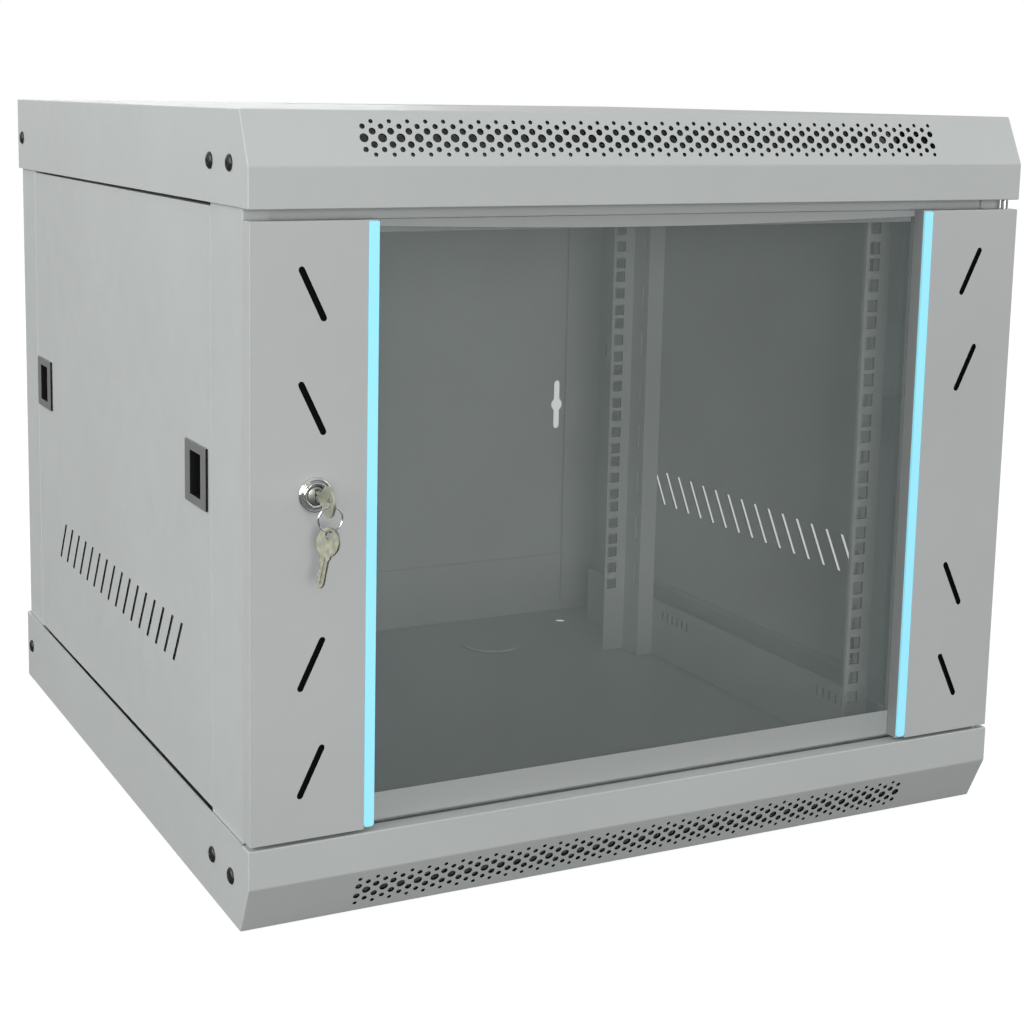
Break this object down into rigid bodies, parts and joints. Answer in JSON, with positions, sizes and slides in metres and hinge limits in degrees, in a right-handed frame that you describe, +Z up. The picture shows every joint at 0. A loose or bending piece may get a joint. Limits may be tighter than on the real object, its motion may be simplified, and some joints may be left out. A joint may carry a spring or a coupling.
{
  "type": "network server rack cabinet",
  "caption": "Wall-mount network rack cabinet: folded steel hood and base, square-hole rails, pull-off side panels and a lockable hinged glass door.",
  "frame": {"origin": "centre of the base's footprint, on its bottom face", "axes": "+Z up, the door faces -Y, +X to the right of someone facing the door"},
  "size_m": [0.6076, 0.6338, 0.525],
  "materials": {
    "powder_coat": "fine-textured satin powder coat",
    "black_screw": "black oxide",
    "zinc_pin": "bright zinc",
    "tinted_glass": "polished, grey tint",
    "accent_strip": "satin",
    "vent_backing": "matte",
    "chrome": "polished",
    "nickel_brass": "nickel plated",
    "latch_bezel": "satin",
    "latch_slider": "satin"
  },
  "bodies": {
    "frame": {"top_cover": "powder_coat", "base_pan": "powder_coat", "front_upright_left": "powder_coat", "front_upright_right": "powder_coat", "rear_upright_left": "powder_coat", "rear_upright_right": "powder_coat", "front_lintel_top": "powder_coat", "front_lintel_bottom": "powder_coat", "rear_panel": "powder_coat", "rail_front_left": "powder_coat", "rail_front_right": "powder_coat", "rail_rear_left": "powder_coat", "rail_rear_right": "powder_coat", "rail_support_bottom_left": "powder_coat", "rail_support_bottom_right": "powder_coat", "rail_support_top_left": "powder_coat", "rail_support_top_right": "powder_coat", "top_cable_plate": "powder_coat", "base_cable_plate": "powder_coat", "screw_top_front_left": "black_screw", "screw_top_middle_left": "black_screw", "screw_top_rear_left": "black_screw", "screw_base_front_left": "black_screw", "screw_base_middle_left": "black_screw", "screw_base_rear_left": "black_screw", "screw_top_front_right": "black_screw", "screw_top_middle_right": "black_screw", "screw_top_rear_right": "black_screw", "screw_base_front_right": "black_screw", "screw_base_middle_right": "black_screw", "screw_base_rear_right": "black_screw", "hinge_pin_top": "zinc_pin", "hinge_pin_bottom": "zinc_pin"},
    "door": {"door_bar_left": "powder_coat", "door_bar_right": "powder_coat", "vent_backing_left": "vent_backing", "vent_backing_right": "vent_backing", "accent_strip_left": "accent_strip", "accent_strip_right": "accent_strip", "door_glass": "tinted_glass", "door_rail_top": "powder_coat", "door_rail_bottom": "powder_coat", "lock_barrel": "chrome", "lock_nut": "nickel_brass"},
    "lock_plug": {"lock_plug": "chrome", "lock_cam": "nickel_brass", "key_in_lock": "nickel_brass"},
    "key_ring": {"key_ring": "chrome"},
    "spare_key": {"spare_key": "nickel_brass"},
    "side_panel_left": {"side_panel_left": "powder_coat", "latch_housing_front_left": "latch_bezel", "latch_housing_rear_left": "latch_bezel"},
    "latch_front_left": {"latch_slider_front_left": "latch_slider"},
    "latch_rear_left": {"latch_slider_rear_left": "latch_slider"},
    "side_panel_right": {"side_panel_right": "powder_coat", "latch_housing_front_right": "latch_bezel", "latch_housing_rear_right": "latch_bezel"},
    "latch_front_right": {"latch_slider_front_right": "latch_slider"},
    "latch_rear_right": {"latch_slider_rear_right": "latch_slider"}
  },
  "joints": [
    {"name": "door_swing", "type": "hinge", "parent": "frame", "child": "door", "pos_m": [0.2925, -0.293, 0.26025], "axis": [0, 0, 1], "range_deg": [0, 180]},
    {"name": "lock_turn", "type": "hinge", "parent": "door", "child": "lock_plug", "pos_m": [-0.256, -0.277, 0.2875], "axis": [0, 1, 0], "range_deg": [0, 90]},
    {"name": "key_ring_swing", "type": "hinge", "parent": "lock_plug", "child": "key_ring", "pos_m": [-0.256, -0.3255, 0.2854], "axis": [-1, 0, 0], "range_deg": [-10, 60]},
    {"name": "spare_key_swing", "type": "hinge", "parent": "key_ring", "child": "spare_key", "pos_m": [-0.256, -0.3255, 0.2694], "axis": [-1, 0, 0], "range_deg": [-10, 60]},
    {"name": "side_panel_left_pull", "type": "slide", "parent": "frame", "child": "side_panel_left", "axis": [-1, 0, 0], "range_m": [0, 0.25]},
    {"name": "latch_front_left_slide", "type": "slide", "parent": "side_panel_left", "child": "latch_front_left", "axis": [0, 1, 0], "range_m": [0, 0.006], "stiffness_N_per_m": 150, "springref_m": -0.004},
    {"name": "latch_rear_left_slide", "type": "slide", "parent": "side_panel_left", "child": "latch_rear_left", "axis": [0, -1, 0], "range_m": [0, 0.006], "stiffness_N_per_m": 150, "springref_m": -0.004},
    {"name": "side_panel_right_pull", "type": "slide", "parent": "frame", "child": "side_panel_right", "axis": [1, 0, 0], "range_m": [0, 0.25]},
    {"name": "latch_front_right_slide", "type": "slide", "parent": "side_panel_right", "child": "latch_front_right", "axis": [0, 1, 0], "range_m": [0, 0.006], "stiffness_N_per_m": 150, "springref_m": -0.004},
    {"name": "latch_rear_right_slide", "type": "slide", "parent": "side_panel_right", "child": "latch_rear_right", "axis": [0, -1, 0], "range_m": [0, 0.006], "stiffness_N_per_m": 150, "springref_m": -0.004}
  ]
}
